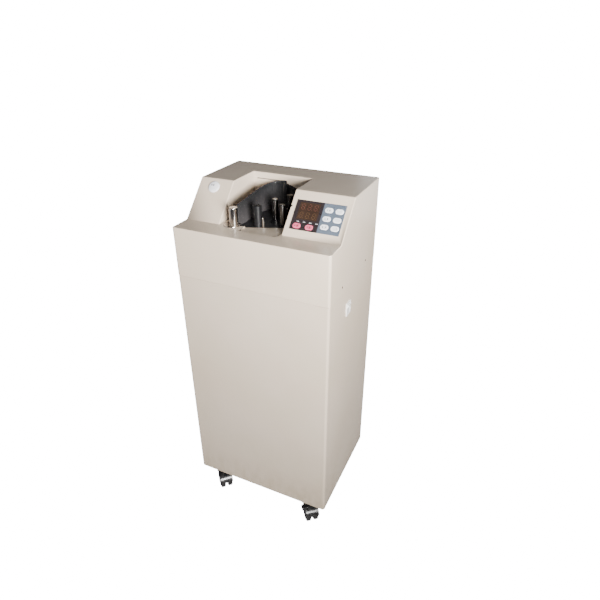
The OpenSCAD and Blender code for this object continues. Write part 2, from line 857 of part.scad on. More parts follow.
module vacuum_pump() color([0.32, 0.40, 0.47]) {
    foot = base_z + plate_t;
    y = fy(150);
    for (x = [-20, 130])
        for (d = [-45, 45])
            rod(x, y + d, foot, foot + 12, 9);
    block([-35, y - 58, foot + 12 - eps], [145, y + 58, foot + 17]);
    translate([-28, y, foot + 72])
        rotate([0, 90, 0])
            cylinder(h = 105, r = 50);
    translate([77 - eps, y, foot + 72])
        rotate([0, 90, 0])
            cylinder(h = 56, r = 40);
    block([-20, y - 30, foot + 17 - eps], [70, y + 30, foot + 40]);
    rod(60, y, foot + 100, foot + 150, 12);
}

// Suction hose from the pump's port up to the hollow shaft.
hose_z0 = caster_h + 157.2;
hose_bend = 40;
hose_shift = 60 - 30;
hose_bend_a = acos(1 - hose_shift / (2 * hose_bend));

module hose_ring() {
    difference() {
        circle(9);
        circle(6.5);
    }
}

module suction_hose() color([0.25, 0.25, 0.26]) {
    top = pulley_z - 8;
    bend_h = hose_bend * sin(hose_bend_a);
    translate([60, fy(rotor_d), 0]) {
        difference() {
            rod(0, 0, hose_z0, 400, 9);
            rod(0, 0, hose_z0 - 1, 401, 6.5);
        }
        translate([-hose_bend, 0, 400])
            rotate([90, 0, 0])
                rotate_extrude(angle = hose_bend_a)
                    translate([hose_bend, 0])
                        hose_ring();
    }
    // clip over the joint of the two bends
    translate([60 - hose_shift / 2, fy(rotor_d), 400 + bend_h])
        rotate([0, -hose_bend_a, 0])
            difference() {
                cylinder(h = 12, r = 10.5, center = true);
                cylinder(h = 14, r = 8, center = true);
            }
    translate([30, fy(rotor_d), 0]) {
        translate([hose_bend, 0, 400 + 2 * bend_h])
            rotate([90, 0, 0])
                rotate(180)
                    rotate_extrude(angle = hose_bend_a)
                        translate([hose_bend, 0])
                            hose_ring();
        difference() {
            rod(0, 0, 400 + 2 * bend_h, top, 9);
            rod(0, 0, 400 + 2 * bend_h - 1, top + 1, 6.5);
        }
    }
}

module power_supply() color([0.66, 0.67, 0.68]) {
    foot = base_z + plate_t;
    difference() {
        block([-160, fy(95), foot], [-62, fy(255), foot + 45]);
        for (k = [0:9])
            block([-150, fy(110 + k * 13), foot + 40], [-72, fy(116 + k * 13), foot + 50]);
    }
    block([-158, fy(82), foot + 4], [-64, fy(95) + eps, foot + 20]);
}

// ---- casters ----

module at_caster(i) {
    s = caster_signs[i];
    translate([s.x * caster_x, s.y * (half_d - caster_in), 0])
        children();
}

module caster_plates() color([0.55, 0.56, 0.57])
    for (i = [0:3])
        at_caster(i) {
            difference() {
                block([-20, -20, base_z - 2.5], [20, 20, base_z]);
                for (sx = [-1, 1])
                    for (sy = [-1, 1])
                        rod(sx * 15, sy * 15, base_z - 4, base_z + 1, 2.6);
            }
            rod(0, 0, base_z - 5, base_z - 2.5 + eps, 12);
            rod(0, 0, caster_h - 18, base_z - 5 + eps, swivel_pin_r);
        }

// Cylinder along the axle, centred, in the caster's turned frame.
module axle_rod(r, w) {
    translate([-w / 2, -caster_trail, wheel_r])
        rotate([0, 90, 0])
            cylinder(h = w, r = r);
}

module caster_hood(i) color([0.11, 0.11, 0.12])
    at_caster(i)
        rotate(caster_angles[i]) {
            neck_top = base_z - 5.4;
            difference() {
                union() {
                    difference() {
                        union() {
                            axle_rod(hood_r, pair_w + 2);
                            rod(0, 0, wheel_r + hood_r - 5, neck_top, 10);
                        }
                        axle_rod(wheel_r + hood_clear, pair_w + 4);
                        block([-30, -60, -5], [30, 60, wheel_r + 6]);
                    }
                    block([-wheel_gap / 2 + 0.6, -6, wheel_r - 4],
                        [wheel_gap / 2 - 0.6, 5, wheel_r + hood_r - 2]);
                    axle_rod(5.5, wheel_gap - 1.2);
                }
                rod(0, 0, caster_h - 18.6, neck_top + 1, swivel_pin_r + run_fit);
                axle_rod(axle_r, pair_w + 10);
            }
            axle_rod(axle_r, pair_w - 3);
            if (i == 1 || i == 2)
                brake_ears();
        }

brake_u = -9;
brake_z = wheel_r + hood_r + 4.2;
brake_v = -caster_trail - 8;

module brake_ears() {
    for (v = [-8, 8])
        difference() {
            block([brake_u - 3.2, brake_v + v - 1, wheel_r + 18],
                [brake_u + 3.2, brake_v + v + 1, brake_z + 3]);
            translate([brake_u, brake_v - 20, brake_z])
                rotate([-90, 0, 0])
                    cylinder(h = 40, r = 1.5);
            axle_rod(wheel_r + hood_clear, pair_w + 4);
        }
    translate([brake_u, brake_v - 9, brake_z])
        rotate([-90, 0, 0])
            cylinder(h = 18, r = 1.5);
}

module brake_pedal(i) color([0.10, 0.10, 0.11])
    at_caster(i)
        rotate(caster_angles[i])
            difference() {
                union() {
                    block([brake_u - 18, brake_v - 6.5, brake_z - 2],
                        [brake_u, brake_v + 6.5, brake_z + 2.4]);
                    block([brake_u - 18, brake_v - 6.5, brake_z - 7],
                        [brake_u - 12, brake_v + 6.5, brake_z + 2.4]);
                    translate([brake_u, brake_v - 6.5, brake_z])
                        rotate([-90, 0, 0])
                            cylinder(h = 13, r = 2.6);
                }
                translate([brake_u, brake_v - 10, brake_z])
                    rotate([-90, 0, 0])
                        cylinder(h = 20, r = 1.5 + run_fit);
            }

module wheel() {
    rotate([0, 90, 0])
        rotate_extrude()
            polygon([[axle_r + run_fit, 0], [wheel_r - 2.5, 0], [wheel_r - 0.7, 0.8], [wheel_r, 2.5],
                [wheel_r, wheel_w - 2.5], [wheel_r - 0.7, wheel_w - 0.8], [wheel_r - 2.5, wheel_w],
                [wheel_r - 5, wheel_w], [wheel_r - 6, wheel_w - 2], [9, wheel_w - 2], [8, wheel_w - 0.6],
                [axle_r + run_fit, wheel_w - 0.6]]);
}

module caster_wheels(i) color([0.14, 0.14, 0.15])
    at_caster(i)
        rotate(caster_angles[i])
            for (m = [0, 1])
                mirror([m, 0, 0])
                    translate([wheel_gap / 2, -caster_trail, wheel_r])
                        wheel();

module caster_hood_fl() caster_hood(0);
module caster_hood_fr() caster_hood(1);
module caster_hood_rl() caster_hood(2);
module caster_hood_rr() caster_hood(3);
module caster_wheels_fl() caster_wheels(0);
module caster_wheels_fr() caster_wheels(1);
module caster_wheels_rl() caster_wheels(2);
module caster_wheels_rr() caster_wheels(3);
module brake_pedal_fr() brake_pedal(1);
module brake_pedal_rl() brake_pedal(2);

lower_cabinet();
base_plate();
rear_panel();
case_screws();
top_shell();
mech_plate();
chamber_floor();
chamber_liner();
note_guard();
anvil_pillar();
guide_pin();
clamp_motor();
clamp_disc();
clamp_post();
display_overlay();
keypad_overlay();
display_window();
digit_module();
control_board();
key_white_1();
key_white_2();
key_white_3();
key_white_4();
key_white_5();
key_white_6();
key_red_1();
key_red_2();
start_switch();
start_spring();
start_button();
switch_bezel();
power_rocker();
power_inlet();
rotor_plate();
rotor_shaft();
rotor_pulley();
spindle_1();
spindle_2();
spindle_3();
spindle_4();
spindle_5();
sun_gear();
bearing_housing();
drive_motor();
motor_pulley();
drive_belt();
vacuum_pump();
suction_hose();
power_supply();
caster_plates();
caster_hood_fl();
caster_hood_fr();
caster_hood_rl();
caster_hood_rr();
caster_wheels_fl();
caster_wheels_fr();
caster_wheels_rl();
caster_wheels_rr();
brake_pedal_fr();
brake_pedal_rl();
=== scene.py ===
import json
import math

import bmesh
import bpy
from mathutils import Matrix, Vector


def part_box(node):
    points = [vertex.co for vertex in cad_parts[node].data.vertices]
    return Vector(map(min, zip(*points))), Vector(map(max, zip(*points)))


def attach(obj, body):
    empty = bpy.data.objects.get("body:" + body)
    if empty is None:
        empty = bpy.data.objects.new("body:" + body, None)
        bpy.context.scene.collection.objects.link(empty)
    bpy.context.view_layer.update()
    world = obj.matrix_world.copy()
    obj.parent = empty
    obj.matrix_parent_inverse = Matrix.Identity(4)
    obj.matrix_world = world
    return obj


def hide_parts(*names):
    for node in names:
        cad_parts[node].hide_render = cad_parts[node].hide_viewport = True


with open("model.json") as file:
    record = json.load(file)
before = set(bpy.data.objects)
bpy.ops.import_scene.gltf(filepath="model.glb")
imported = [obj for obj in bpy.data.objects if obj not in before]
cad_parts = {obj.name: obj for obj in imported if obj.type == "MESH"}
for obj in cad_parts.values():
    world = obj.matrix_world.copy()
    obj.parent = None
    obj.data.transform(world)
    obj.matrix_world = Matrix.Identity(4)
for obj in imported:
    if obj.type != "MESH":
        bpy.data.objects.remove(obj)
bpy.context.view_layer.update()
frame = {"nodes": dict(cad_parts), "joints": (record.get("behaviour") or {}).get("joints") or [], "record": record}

MM = 0.001

# ---- Camera ----
# It stands in front of the machine's right-hand corner, a third of a metre above its top, and looks down
# at the cabinet.

eye = Vector((0.5209, -1.0037, 1.2186))
view_line = Vector((-0.3686, 0.7914, -0.4877))
camera_roll = math.radians(-0.211)

camera = bpy.data.objects.new("camera", bpy.data.cameras.new("camera"))
camera.data.sensor_width = 36
camera.data.lens = 31.0
camera.matrix_world = (
    Matrix.Translation(eye)
    @ view_line.to_track_quat("-Z", "Y").to_matrix().to_4x4()
    @ Matrix.Rotation(camera_roll, 4, "Z")
)
bpy.context.scene.collection.objects.link(camera)
bpy.context.scene.camera = camera

# ---- Lower cabinet ----
# A tall box folded from 1.5 mm steel sheet and powder coated cream, with an inward flange round its foot.
# The base plate is bolted on that flange, and the top shell stands on the cabinet's upper rim.

body_of = {
    node: body
    for body, nodes in frame["record"]["behaviour"]["bodies"].items()
    for node in nodes
}
slot_of = {part["node"]: part["material_slot"] for part in frame["record"]["subparts"]}


def merged(node):
    """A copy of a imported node's mesh, with its corners joined and its flat faces whole."""
    bm = bmesh.new()
    bm.from_mesh(frame["nodes"][node].data)
    bmesh.ops.remove_doubles(bm, verts=bm.verts, dist=1e-6)
    bmesh.ops.dissolve_limit(bm, angle_limit=math.radians(0.4), verts=bm.verts, edges=bm.edges)
    return bm


def soften(bm, radius, chosen=lambda edge: True, segments=2, angle=28, clamp=False):
    """Rounds the chosen edges whose faces meet at more than the angle."""
    edges = [
        edge
        for edge in bm.edges
        if edge.is_manifold and abs(edge.calc_face_angle_signed(0)) > math.radians(angle) and chosen(edge)
    ]
    bmesh.ops.bevel(
        bm, geom=edges, offset=radius, offset_type="OFFSET", segments=segments,
        profile=0.5, affect="EDGES", clamp_overlap=clamp, material=-1,
    )
    return bm


def place(bm, name, body, slot, *finishes, nodes=(), sharp=38):
    """Makes a piece from a mesh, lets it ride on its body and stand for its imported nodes."""
    mesh = bpy.data.meshes.new(name)
    bm.to_mesh(mesh)
    bm.free()
    for material in finishes:
        mesh.materials.append(material)
    mesh.shade_smooth()
    mesh.set_sharp_from_angle(angle=math.radians(sharp))
    piece = bpy.data.objects.new(name, mesh)
    bpy.context.scene.collection.objects.link(piece)
    shading = piece.modifiers.new("even_shading", "WEIGHTED_NORMAL")
    shading.keep_sharp = True
    shading.weight = 60
    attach(piece, body)
    if nodes:
        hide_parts(*nodes)
    return piece


def dress(node, material, radius=0.3 * MM, segments=2, angle=28, clamp=True):
    """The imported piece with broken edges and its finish."""
    bm = soften(merged(node), radius, segments=segments, angle=angle, clamp=clamp)
    return place(bm, node + "_made", body_of[node], slot_of[node], material, nodes=[node])


def noise(tree, scale, detail=3.0, stretch=(1, 1, 1), roughness=0.5):
    """Cloudy noise on the piece itself, with scale cells to the metre."""
    spot = tree.nodes.new("ShaderNodeTexCoord")
    turn = tree.nodes.new("ShaderNodeMapping")
    turn.inputs["Scale"].default_value = stretch
    cloud = tree.nodes.new("ShaderNodeTexNoise")
    cloud.inputs["Scale"].default_value = scale
    cloud.inputs["Detail"].default_value = detail
    cloud.inputs["Roughness"].default_value = roughness
    tree.links.new(spot.outputs["Object"], turn.inputs["Vector"])
    tree.links.new(turn.outputs["Vector"], cloud.inputs["Vector"])
    return cloud.outputs["Fac"]


def spread(tree, value, low, high, to_low, to_high):
    """Carries a value from one range to another, held at its ends."""
    node = tree.nodes.new("ShaderNodeMapRange")
    for socket, number in zip(("From Min", "From Max", "To Min", "To Max"), (low, high, to_low, to_high)):
        node.inputs[socket].default_value = number
    tree.links.new(value, node.inputs["Value"])
    return node.outputs["Result"]


def product(tree, first, second):
    """Two values multiplied."""
    node = tree.nodes.new("ShaderNodeMath")
    node.operation = "MULTIPLY"
    for socket, value in zip(node.inputs, (first, second)):
        tree.links.new(value, socket)
    return node.outputs["Value"]


def blended(tree, value, first, second):
    """A colour between two others; each is a colour or another colour output."""
    node = tree.nodes.new("ShaderNodeMix")
    node.data_type = "RGBA"
    tree.links.new(value, node.inputs["Factor"])
    for socket, colour in (("A", first), ("B", second)):
        target = [i for i in node.inputs if i.name == socket and i.type == "RGBA"][0]
        if isinstance(colour, bpy.types.NodeSocket):
            tree.links.new(colour, target)
        else:
            target.default_value = (*colour, 1)
    return [o for o in node.outputs if o.type == "RGBA"][0]


def height(tree, value, depth, below=None):
    """Surface relief of a depth in metres, on top of coarser relief."""
    node = tree.nodes.new("ShaderNodeBump")
    node.inputs["Distance"].default_value = depth
    tree.links.new(value, node.inputs["Height"])
    if below is not None:
        tree.links.new(below, node.inputs["Normal"])
    return node.outputs["Normal"]


def height_above_floor(tree):
    """Height in metres, measured on the piece at rest."""
    spot = tree.nodes.new("ShaderNodeTexCoord")
    parts = tree.nodes.new("ShaderNodeSeparateXYZ")
    tree.links.new(spot.outputs["Object"], parts.inputs["Vector"])
    return parts.outputs["Z"]


def new_finish(name, roughness, metallic=0.0, specular=0.5, coat=0.0, coat_roughness=0.1):
    """A material with the shader's constants set, its node tree and its shader."""
    material = bpy.data.materials.new(name)
    material.use_nodes = True
    shader = material.node_tree.nodes["Principled BSDF"]
    shader.inputs["Roughness"].default_value = roughness
    shader.inputs["Metallic"].default_value = metallic
    shader.inputs["Specular IOR Level"].default_value = specular
    shader.inputs["Coat Weight"].default_value = coat
    shader.inputs["Coat Roughness"].default_value = coat_roughness
    return material, material.node_tree, shader


def finish(
    name, colour, roughness, metallic=0.0, specular=0.5, coat=0.0, coat_roughness=0.1,
    shade=0.85, mottle=30, stretch=(1, 1, 1), grain=900, depth=0.02 * MM, gloss=0.06,
):
    """A finish whose tone, gloss and grain all vary: shade is how dark its darker patches are."""
    material, tree, shader = new_finish(name, roughness, metallic, specular, coat, coat_roughness)
    patches = noise(tree, mottle, 4.0, stretch)
    tone = blended(tree, spread(tree, patches, 0.35, 0.65, 0, 1), [c * shade for c in colour], colour)
    tree.links.new(tone, shader.inputs["Base Color"])
    wear = noise(tree, mottle * 3.3, 5.0, stretch, 0.6)
    tree.links.new(
        spread(tree, wear, 0.3, 0.7, roughness - gloss, roughness + gloss), shader.inputs["Roughness"]
    )
    tree.links.new(height(tree, noise(tree, grain, 2.0, stretch), depth), shader.inputs["Normal"])
    return material


def cream_coat(name, colour, roughness, coat, pebble, pebble_depth, foot, foot_reach):
    """Cream enamel: a pebbled skin on a wavy wall, faint yellowing, and a cloudy darker, browner tone rising from
    its foot.
    """
    material, tree, shader = new_finish(name, roughness, coat=coat, coat_roughness=0.16)
    dark = [colour[0] * 0.93, colour[1] * 0.92, colour[2] * 0.88]
    dust = [colour[0] * 0.72, colour[1] * 0.68, colour[2] * 0.60]
    aged = blended(tree, spread(tree, noise(tree, 4.5, 3.0), 0.35, 0.7, 0, 1), colour, dark)
    # Darker and browner towards the foot: full strength at the foot, gone foot_reach above it, broken into clouds.
    low = spread(tree, height_above_floor(tree), foot, foot + foot_reach, 1, 0)
    clouds = spread(tree, noise(tree, 55, 6.0, (1, 1, 0.45)), 0.38, 0.72, 0, 0.8)
    broken = product(tree, low, clouds)
    flecks = spread(tree, noise(tree, 420, 2.0), 0.70, 0.78, 0, 0.25)
    tone = blended(tree, broken, blended(tree, flecks, aged, dust), dust)
    tree.links.new(tone, shader.inputs["Base Color"])
    rubbed = noise(tree, 9, 5.0, (1, 1, 0.5), 0.62)
    tree.links.new(
        spread(tree, rubbed, 0.3, 0.7, roughness - 0.05, roughness + 0.08), shader.inputs["Roughness"]
    )
    waves = height(tree, noise(tree, 7, 1.0), 0.35 * MM)
    tree.links.new(height(tree, noise(tree, pebble, 2.5), pebble_depth, waves), shader.inputs["Normal"])
    return material


CREAM = (0.600, 0.505, 0.408)
# Painted shade: the steel cabinet and rear panel take the shell's cream darkened by 7%, standing in for the weaker
# light on the lower cabinet.
SHADED_CREAM = [c * 0.93 for c in CREAM]
sheet = merged("lower_cabinet")
cabinet_low, cabinet_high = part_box("lower_cabinet")
foot_z = cabinet_low.z
cabinet_paint = cream_coat(
    "cabinet_paint", SHADED_CREAM, 0.40, coat=0.25, pebble=620, pebble_depth=0.035 * MM,
    foot=foot_z, foot_reach=90 * MM,
)


def inside(edge):
    middle = (edge.verts[0].co + edge.verts[1].co) / 2
    return abs(middle.x) < cabinet_high.x - 2 * MM and abs(middle.y) < cabinet_high.y - 2 * MM


def on_foot(edge):
    """True for the outer edges of the flange at the foot."""
    return all(vert.co.z < foot_z + 0.2 * MM for vert in edge.verts) and not inside(edge)


soften(sheet, 1.3 * MM, on_foot, segments=3)
place(sheet, "cabinet_sheet", "cabinet", "cabinet_paint", cabinet_paint, nodes=["lower_cabinet"])

# ---- Top shell ----
# One thick cream moulding with a long front apron, two sloping pods and the note bay between them.
# Four side screws hold it to the lugs of the mechanism plate.

shell_low, shell_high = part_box("top_shell")
panel_push = [j for j in frame["joints"] if j["name"] == "start_press"][0]
slope_normal = -Vector(panel_push["axis"])
deck_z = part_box("clamp_disc")[1].z - 2 * MM
left_pod_x = -102.5 * MM
right_pod_x = 53 * MM
bay_back_y = 74 * MM
corner = 6 * MM
near = 0.1 * MM

shell_paint = cream_coat(
    "shell_paint", CREAM, 0.33, coat=0.45, pebble=760, pebble_depth=0.018 * MM,
    foot=shell_low.z - 30 * MM, foot_reach=20 * MM,
)
shell = merged("top_shell")
slope_faces = [f for f in shell.faces if f.normal.dot(slope_normal) > 0.9999]
slope_top = max(f.calc_center_median().dot(slope_normal) for f in slope_faces)


def on_skin(face):
    """True for the faces of the shell that a hand can reach from outside."""
    spot, normal = face.calc_center_median(), face.normal
    if abs(normal.z) < 0.01:
        past_x = max(abs(spot.x) - shell_high.x + corner, 0)
        past_y = max(abs(spot.y) - shell_high.y + corner, 0)
        flush = Vector((past_x, past_y)).length > corner - 0.35 * MM
        from_pod = min(abs(spot.x - left_pod_x), abs(spot.x - right_pod_x))
        pod_wall = abs(normal.x) > 0.99 and from_pod < near
        back_wall = normal.y < -0.99 and abs(spot.y - bay_back_y) < near
        return flush or ((pod_wall or back_wall) and spot.z > deck_z)
    on_slope = normal.dot(slope_normal) > 0.9999 and spot.dot(slope_normal) > slope_top - near
    level = normal.z > 0.99 and (spot.z > shell_high.z - near or abs(spot.z - deck_z) < near)
    return on_slope or level


def outer_corner(edge):
    reachable = all(on_skin(face) for face in edge.link_faces)
    return reachable and edge.calc_length() > 0.4 * MM and edge.is_convex


soften(shell, 1.9 * MM, outer_corner, segments=4, angle=20)
place(shell, "top_moulding", "cabinet", "shell_plastic", shell_paint, nodes=["top_shell"])

# ---- Rear panel ----
# A flat steel cover with folded-in louvre slots, screwed over the opening at the back of the cabinet.
# It carries the mains inlet.

# Painted shade: the rear panel shares the cabinet's darkened cream.
rear_paint = cream_coat(
    "rear_paint", SHADED_CREAM, 0.46, coat=0.12, pebble=520, pebble_depth=0.04 * MM,
    foot=foot_z, foot_reach=120 * MM,
)
dress("rear_panel", rear_paint, 0.35 * MM)

# ---- Steel plates ----
# The base plate closes the foot of the cabinet, and the mechanism plate hangs in the top shell by four lugs.
# Both are sheared from zinc plated sheet, with the grain of the rolling along X.

plate_steel = finish(
    "plate_steel", (0.50, 0.51, 0.53), 0.36, metallic=1.0, shade=0.80, mottle=26,
    stretch=(0.3, 1, 1), grain=700, depth=0.015 * MM, gloss=0.10,
)
for node in ("base_plate", "mech_plate"):
    dress(node, plate_steel, 0.3 * MM)

# ---- Note chamber ----
# A black pan under the note bay and a black liner behind and beside the spindle head, both moulded.
# They stand on posts on the mechanism plate.

chamber_black = finish(
    "chamber_black", (0.014, 0.014, 0.016), 0.42, specular=0.45, shade=0.6, mottle=35,
    grain=1300, depth=0.03 * MM, gloss=0.08,
)
for node in ("chamber_floor", "chamber_liner"):
    dress(node, chamber_black, 0.4 * MM)

# ---- Smoked guard ----
# One sheet of smoked acrylic, bent round the corner of the bay, with saw-cut and flame-polished edges.
# Its foot stands in a slot of the chamber floor.


def smoked_sheet():
    """Glossy smoked acrylic, nearly opaque, with painted light that makes its colour lighter near its foot."""
    material, tree, shader = new_finish("smoked_sheet", 0.10, specular=0.40, coat=0.2, coat_roughness=0.04)
    smears = noise(tree, 28, 5.0, (1, 1, 0.35), 0.6)
    clean, smeared, painted_light_tint = (0.009, 0.0095, 0.0105), (0.018, 0.019, 0.020), (0.052, 0.048, 0.049)
    tint = blended(tree, spread(tree, smears, 0.35, 0.7, 0, 1), clean, smeared)
    low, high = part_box("note_guard")
    # Painted light: the colour is lightest at the sheet's foot and fades to the plain smoked tint 12 mm below its
    # top edge.
    painted_foot_light = spread(tree, height_above_floor(tree), low.z, high.z - 12 * MM, 1, 0)
    tint = blended(tree, painted_foot_light, tint, painted_light_tint)
    tree.links.new(tint, shader.inputs["Base Color"])
    tree.links.new(spread(tree, smears, 0.3, 0.7, 0.07, 0.20), shader.inputs["Roughness"])
    tree.links.new(height(tree, noise(tree, 18, 1.0), 0.06 * MM), shader.inputs["Normal"])
    shader.inputs["Alpha"].default_value = 0.93
    return material


dress("note_guard", smoked_sheet(), 0.45 * MM, segments=3)

# ---- Turned posts ----
# The clamp post and its disc are turned from bar and chromed, and the geared motor below turns them.
# The anvil pillar is black nylon and the guide pin is polished steel, both pressed into the chamber floor.


def turned(points, segments=64):
    """A closed solid turned round Z from (radius, height) points that start and end on the axis."""
    bm = bmesh.new()
    line = [bm.verts.new((radius, 0, level)) for radius, level in points]
    for first, second in zip(line, line[1:]):
        bm.edges.new((first, second))
    bmesh.ops.spin(
        bm, geom=bm.verts[:] + bm.edges[:], axis=(0, 0, 1), cent=(0, 0, 0),
        angle=2 * math.pi, steps=segments, use_merge=True,
    )
    bmesh.ops.remove_doubles(bm, verts=bm.verts, dist=1e-6)
    bmesh.ops.recalc_face_normals(bm, faces=bm.faces)
    return bm


def upright(node):
    """The middle, foot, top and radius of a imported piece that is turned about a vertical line."""
    low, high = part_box(node)
    middle, size = (low + high) / 2, high - low
    return middle, middle.z - size.z / 2, middle.z + size.z / 2, size.x / 2


def stand(bm, middle):
    bmesh.ops.translate(bm, vec=(middle.x, middle.y, 0), verts=bm.verts)
    return bm


def chrome_finish(name, colour, roughness):
    """Plated metal with a faint haze and fine turning marks."""
    material, tree, shader = new_finish(name, roughness, metallic=1.0)
    haze = noise(tree, 60, 4.0, (1, 1, 0.3), 0.6)
    tone = blended(tree, spread(tree, haze, 0.4, 0.75, 0, 1), colour, [c * 0.82 for c in colour])
    tree.links.new(tone, shader.inputs["Base Color"])
    tree.links.new(spread(tree, haze, 0.3, 0.75, roughness, roughness + 0.10), shader.inputs["Roughness"])
    turning = noise(tree, 1500, 1.0, (0.05, 0.05, 1))
    tree.links.new(height(tree, turning, 0.004 * MM), shader.inputs["Normal"])
    return material


chrome = chrome_finish("chrome", (0.66, 0.62, 0.58), 0.07)

middle, foot, top, r = upright("clamp_post")
post = turned([
    (0, foot), (r - 0.4 * MM, foot), (r, foot + 0.5 * MM), (r, top - 1.4 * MM),
    (r - 0.3 * MM, top - 0.6 * MM), (r - 1.0 * MM, top), (3.0 * MM, top), (2.5 * MM, top - 0.5 * MM), (0, top - 0.5 * MM),
])
place(stand(post, middle), "clamp_post_made", "clamp", "chrome", chrome, nodes=["clamp_post"])

middle, foot, top, r = upright("clamp_disc")
disc = turned([
    (0, foot), (6 * MM, foot), (6 * MM, top - 5 * MM), (r, top - 5 * MM), (r, top - 0.9 * MM),
    (r - 0.25 * MM, top - 0.3 * MM), (r - 0.9 * MM, top), (0, top),
])
place(stand(disc, middle), "clamp_disc_made", "clamp", "chrome", chrome, nodes=["clamp_disc"])

nylon_black = finish(
    "nylon_black", (0.008, 0.008, 0.009), 0.45, specular=0.25, coat=0.05, coat_roughness=0.2,
    shade=0.6, mottle=60, grain=1500, depth=0.01 * MM, gloss=0.07,
)
dress("anvil_pillar", nylon_black, 0.5 * MM, segments=3)

middle, foot, top, r = upright("guide_pin")
pin = turned([
    (0, foot), (r, foot), (r, top - 1.6 * MM), (r * 0.92, top - 0.9 * MM), (r * 0.66, top - 0.3 * MM),
    (r * 0.3, top - 0.05 * MM), (0, top),
], 40)
place(stand(pin, middle), "guide_pin_made", "cabinet", "chrome", chrome, nodes=["guide_pin"])

# ---- Spindle head ----
# Five chromed suction spindles stand in a black anodised plate. Each has its own pinion below the plate,
# which runs round a fixed brass gear. A hollow steel shaft carries the plate in a cast housing.

anodised = finish(
    "anodised_black", (0.018, 0.018, 0.021), 0.32, metallic=0.6, shade=0.65, mottle=40,
    grain=1100, depth=0.012 * MM, gloss=0.08,
)
turned_steel = finish(
    "turned_steel", (0.46, 0.47, 0.49), 0.28, metallic=1.0, shade=0.82, mottle=50,
    stretch=(1, 1, 6), grain=1200, depth=0.01 * MM, gloss=0.08,
)
brass = finish(
    "gear_brass", (0.62, 0.44, 0.17), 0.30, metallic=1.0, shade=0.75, mottle=70,
    grain=900, depth=0.012 * MM, gloss=0.10,
)
cast_alloy = finish(
    "cast_alloy", (0.45, 0.46, 0.47), 0.48, metallic=1.0, shade=0.80, mottle=90,
    grain=420, depth=0.08 * MM, gloss=0.10,
)
spindle_chrome = chrome_finish("spindle_chrome", (0.17, 0.165, 0.16), 0.15)
dress("rotor_plate", anodised, 0.4 * MM)
dress("rotor_shaft", turned_steel, 0.3 * MM)
dress("sun_gear", brass, 0.15 * MM)
for node in ("rotor_pulley", "bearing_housing", "motor_pulley"):
    dress(node, cast_alloy, 0.3 * MM)
for number in range(1, 6):
    dress(f"spindle_{number}", spindle_chrome, 0.15 * MM)

# ---- Drive and suction ----
# A motor turns the head through a flat belt. The vacuum pump on the base plate draws air down the hollow
# shaft through a rubber hose, and a boxed power supply feeds them all.

motor_paint = finish(
    "motor_paint", (0.045, 0.048, 0.055), 0.38, coat=0.2, shade=0.7, mottle=35, grain=520, depth=0.04 * MM,
)
pump_paint = finish(
    "pump_paint", (0.05, 0.10, 0.17), 0.36, coat=0.4, shade=0.7, mottle=22, grain=160, depth=0.16 * MM,
)
belt_rubber = finish(
    "belt_rubber", (0.018, 0.018, 0.018), 0.68, specular=0.3, shade=0.7, mottle=60,
    grain=1600, depth=0.05 * MM,
)
hose_rubber = finish(
    "hose_rubber", (0.026, 0.026, 0.028), 0.50, specular=0.4, shade=0.7, mottle=45, stretch=(1, 1, 0.4),
    grain=700, depth=0.03 * MM,
)
supply_steel = finish(
    "supply_steel", (0.48, 0.49, 0.51), 0.40, metallic=1.0, shade=0.8, mottle=24, stretch=(1, 0.3, 1),
    grain=600, depth=0.02 * MM, gloss=0.1,
)
for node, material in (
    ("clamp_motor", motor_paint), ("drive_motor", motor_paint), ("vacuum_pump", pump_paint),
    ("drive_belt", belt_rubber), ("suction_hose", hose_rubber), ("power_supply", supply_steel),
):
    dress(node, material, 0.4 * MM)

# ---- Control panel ----
# Two printed polyester films lie in a shallow recess of the right-hand slope. The left film is dark and has
# the tinted display window and two pink keys. The right film is slate blue and has six white keys.

slope_turn = Matrix((
    (1, 0, 0),
    (0, slope_normal.z, slope_normal.y),
    (0, -slope_normal.y, slope_normal.z),
))


def slope_box(node):
    """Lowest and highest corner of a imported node, measured across, up and out of the slope."""
    spots = [slope_turn.transposed() @ v.co for v in frame["nodes"][node].data.vertices]
    return [Vector([pick(spot[axis] for spot in spots) for axis in range(3)]) for pick in (min, max)]


def lay_on_slope(bm, across, up, out):
    """Moves a mesh built flat at the origin to a place on the slope."""
    bmesh.ops.transform(
        bm, verts=bm.verts,
        matrix=Matrix.Translation(slope_turn @ Vector((across, up, out))) @ slope_turn.to_4x4(),
    )
    return bm


def film(name, colour, shade):
    """Printed polyester film with a fine speckle and a satin varnish."""
    material, tree, shader = new_finish(name, 0.30, specular=0.5, coat=0.35, coat_roughness=0.10)
    print_tone = noise(tree, 70, 3.0)
    tone = blended(tree, spread(tree, print_tone, 0.35, 0.65, 0, 1), [c * shade for c in colour], colour)
    speckle = spread(tree, noise(tree, 2400, 1.0), 0.62, 0.7, 0, 0.4)
    speckled = blended(tree, speckle, tone, [c * 1.5 for c in colour])
    tree.links.new(speckled, shader.inputs["Base Color"])
    tree.links.new(spread(tree, noise(tree, 130, 4.0), 0.3, 0.7, 0.24, 0.38), shader.inputs["Roughness"])
    tree.links.new(height(tree, noise(tree, 1800, 2.0), 0.012 * MM), shader.inputs["Normal"])
    return material


dark_film = film("dark_film", (0.019, 0.014, 0.015), 0.75)
blue_film = film("blue_film", (0.086, 0.107, 0.140), 0.86)
dress("display_overlay", dark_film, 0.12 * MM)
dress("keypad_overlay", blue_film, 0.12 * MM)

window_tint = finish(
    "window_tint", (0.032, 0.018, 0.012), 0.10, specular=0.5, coat=0.3, coat_roughness=0.05,
    shade=0.7, mottle=45, grain=300, depth=0.01 * MM, gloss=0.03,
)
dress("display_window", window_tint, 0.2 * MM)
window_low, window_high = slope_box("display_window")
INK = 0.04 * MM


